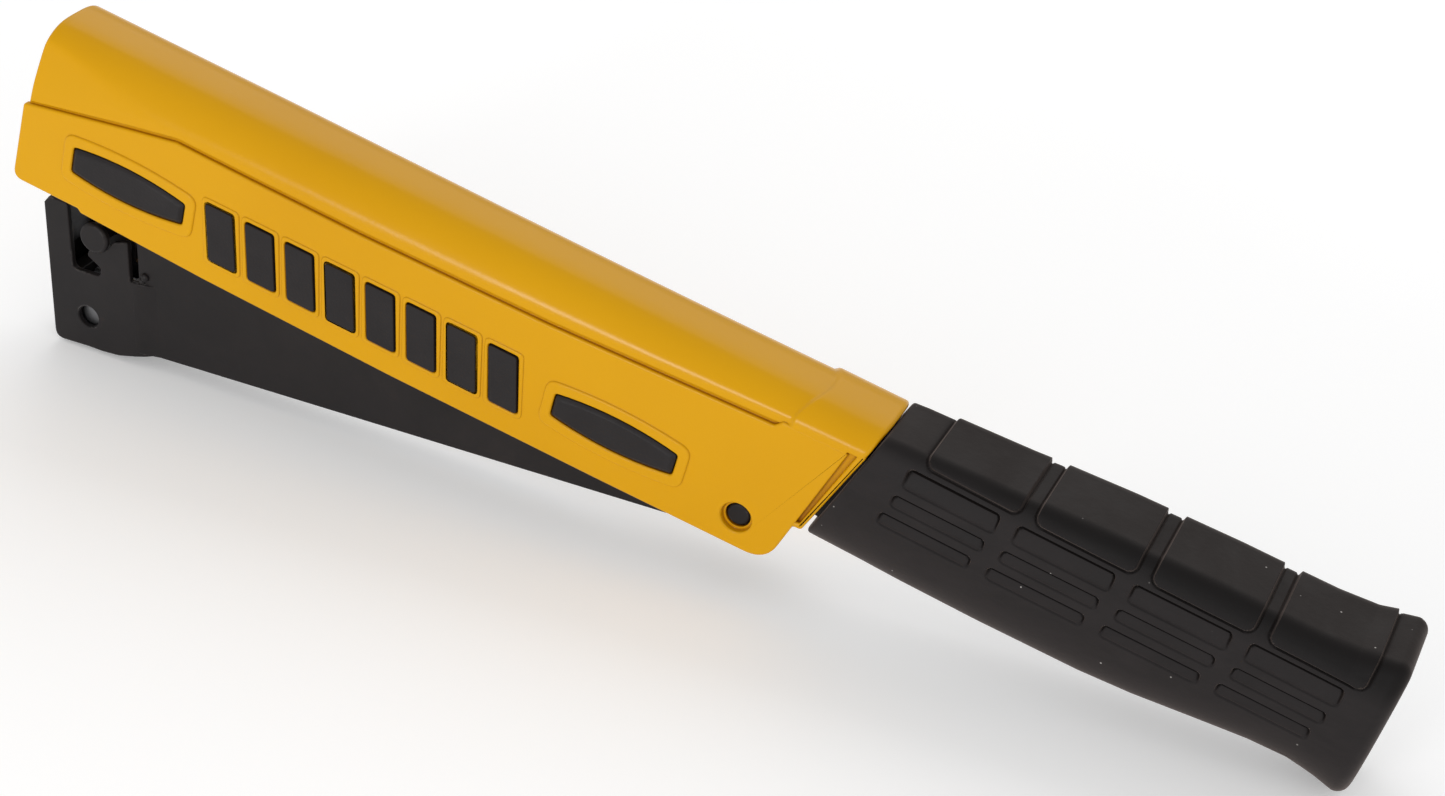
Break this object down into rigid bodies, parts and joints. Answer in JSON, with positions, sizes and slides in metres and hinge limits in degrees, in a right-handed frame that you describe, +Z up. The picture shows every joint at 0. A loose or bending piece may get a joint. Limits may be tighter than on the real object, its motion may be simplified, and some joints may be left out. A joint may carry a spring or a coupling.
{
  "type": "hammer tacker",
  "caption": "Hand-swung hammer tacker: yellow cover with black rubber grip and inset pads, over a hinged black steel staple magazine with a latched nose.",
  "frame": {"origin": "centre of the bounding box at the level of the surface that the nose and the butt of the grip stand on", "axes": "+X along the tool towards the nose, +Y to one side across its thickness, +Z up from the striking side to the crown of the cover"},
  "size_m": [0.353, 0.0316, 0.0911],
  "materials": {
    "cover_paint": "satin yellow powder coat",
    "grip_rubber": "matte moulded rubber",
    "bumper_rubber": "matte",
    "inset_plastic": "fine moulded satin",
    "black_steel": "black oxide, satin",
    "zinc_steel": "zinc plated",
    "hard_steel": "hardened, ground",
    "staple_wire": "galvanised wire"
  },
  "bodies": {
    "handle": {"housing_shell": "cover_paint", "handle_frame": "black_steel", "rubber_grip": "grip_rubber", "pad_front_left": "inset_plastic", "pad_front_right": "inset_plastic", "pad_rear_left": "inset_plastic", "pad_rear_right": "inset_plastic", "emblem_left": "inset_plastic", "emblem_right": "inset_plastic", "driver_block": "black_steel", "driver_blade": "hard_steel", "blade_screw_left": "zinc_steel", "blade_screw_right": "zinc_steel", "block_screw_left": "zinc_steel", "block_screw_right": "zinc_steel", "pivot_pin": "black_steel", "pivot_spacer_left": "zinc_steel", "pivot_spacer_right": "zinc_steel", "stop_bar": "black_steel", "bumper": "bumper_rubber", "return_spring": "hard_steel"},
    "magazine": {"magazine_channel": "black_steel", "nose_housing": "black_steel", "nose_heel": "black_steel", "front_guide": "black_steel", "staple_rail": "zinc_steel", "staple_stick": "staple_wire", "guide_rod": "hard_steel", "rod_end_bracket": "zinc_steel", "spring_seat": "black_steel", "spring_anchor": "black_steel", "pusher_spring": "hard_steel"},
    "pusher": {"pusher": "zinc_steel"},
    "latch": {"latch_plate": "black_steel", "latch_pin": "black_steel", "latch_spring": "hard_steel"}
  },
  "joints": [
    {"name": "magazine_swing", "type": "hinge", "parent": "handle", "child": "magazine", "pos_m": [-0.02243, 0, 0.02229], "axis": [0, -1, 0], "range_deg": [0, 8], "stiffness_Nm_per_rad": 6, "springref_deg": -25.78, "deforming": ["return_spring"]},
    {"name": "pusher_slide", "type": "slide", "parent": "magazine", "child": "pusher", "axis": [0.9987, 0, -0.0513], "range_m": [-0.095, 0], "stiffness_N_per_m": 60, "springref_m": 0.12, "deforming": ["pusher_spring"]},
    {"name": "latch_slide", "type": "slide", "parent": "magazine", "child": "latch", "axis": [0.9987, 0, -0.0513], "range_m": [0, 0.0061], "stiffness_N_per_m": 400, "springref_m": -0.008, "deforming": ["latch_spring"]}
  ]
}
